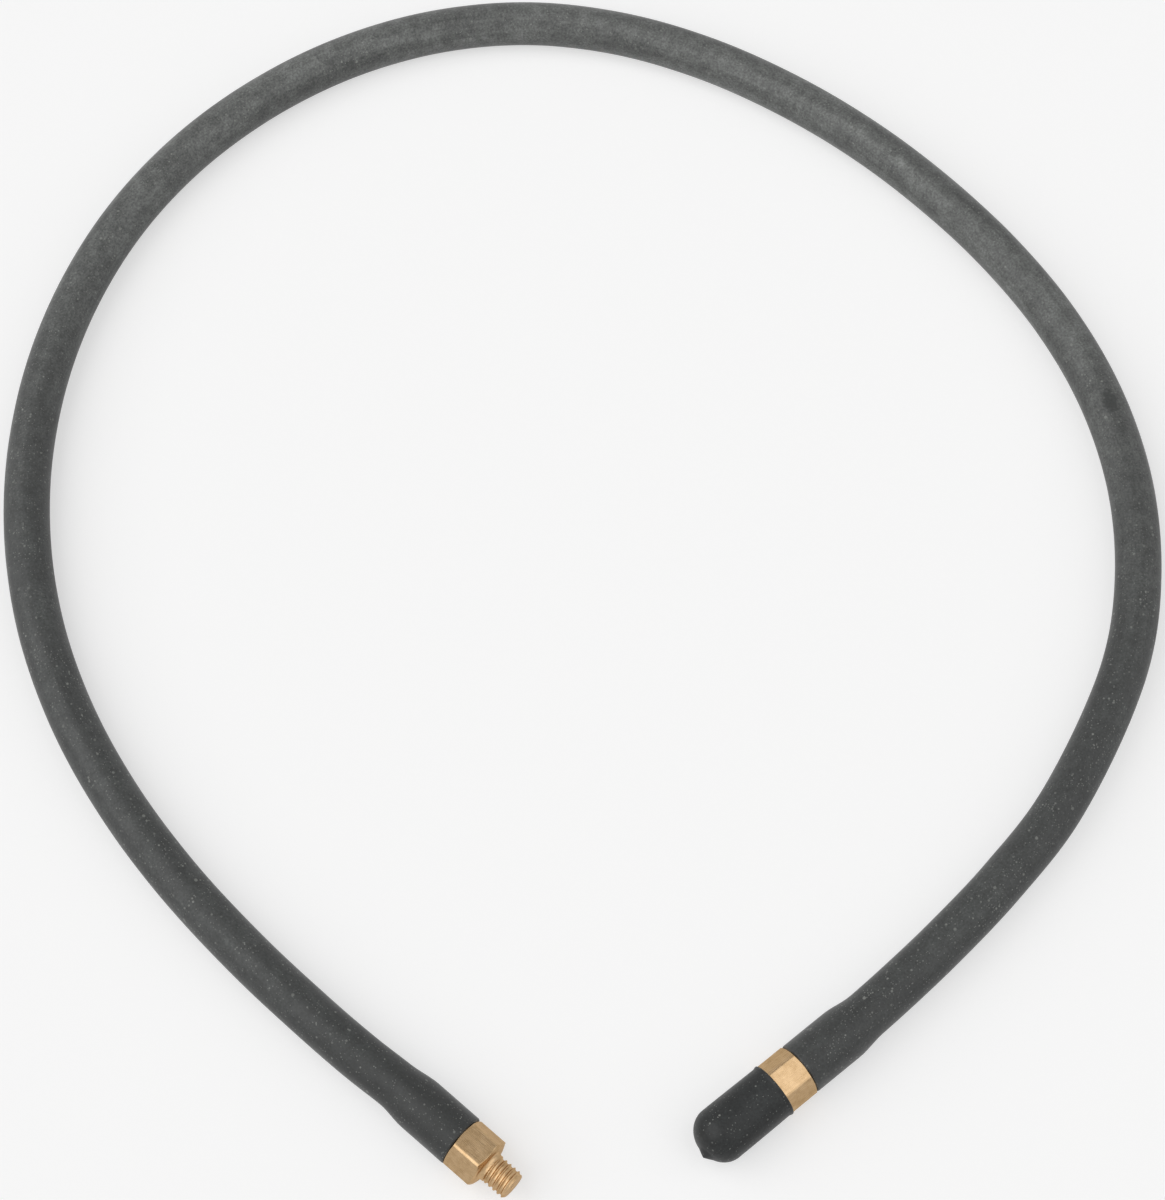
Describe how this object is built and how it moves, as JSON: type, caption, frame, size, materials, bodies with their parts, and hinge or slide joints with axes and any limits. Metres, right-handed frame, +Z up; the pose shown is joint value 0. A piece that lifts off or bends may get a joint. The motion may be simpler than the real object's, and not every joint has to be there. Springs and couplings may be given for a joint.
{
  "type": "capped rubber hose with thread fittings",
  "caption": "Short flexible rubber hose in an open loop, a male-threaded brass fitting pushed into each end and a domed rubber cap over one thread.",
  "frame": {"origin": "centre of the loop's footprint, on the surface that the hose lies on", "axes": "+Z up from the surface, +Y from the two ends towards the closed side of the loop, +X from the open fitting's side towards the capped side"},
  "size_m": [0.3209, 0.3585, 0.0151],
  "materials": {
    "hose_rubber": "matte",
    "cap_rubber": "satin",
    "brass": "satin"
  },
  "bodies": {
    "hose_line": {"rubber_hose": "hose_rubber", "inlet_fitting": "brass", "capped_fitting": "brass"},
    "cap": {"end_cap": "cap_rubber"}
  },
  "joints": [
    {"name": "cap_pull", "type": "slide", "parent": "hose_line", "child": "cap", "axis": [-0.777, -0.6295, 0], "range_m": [0, 0.023]}
  ]
}
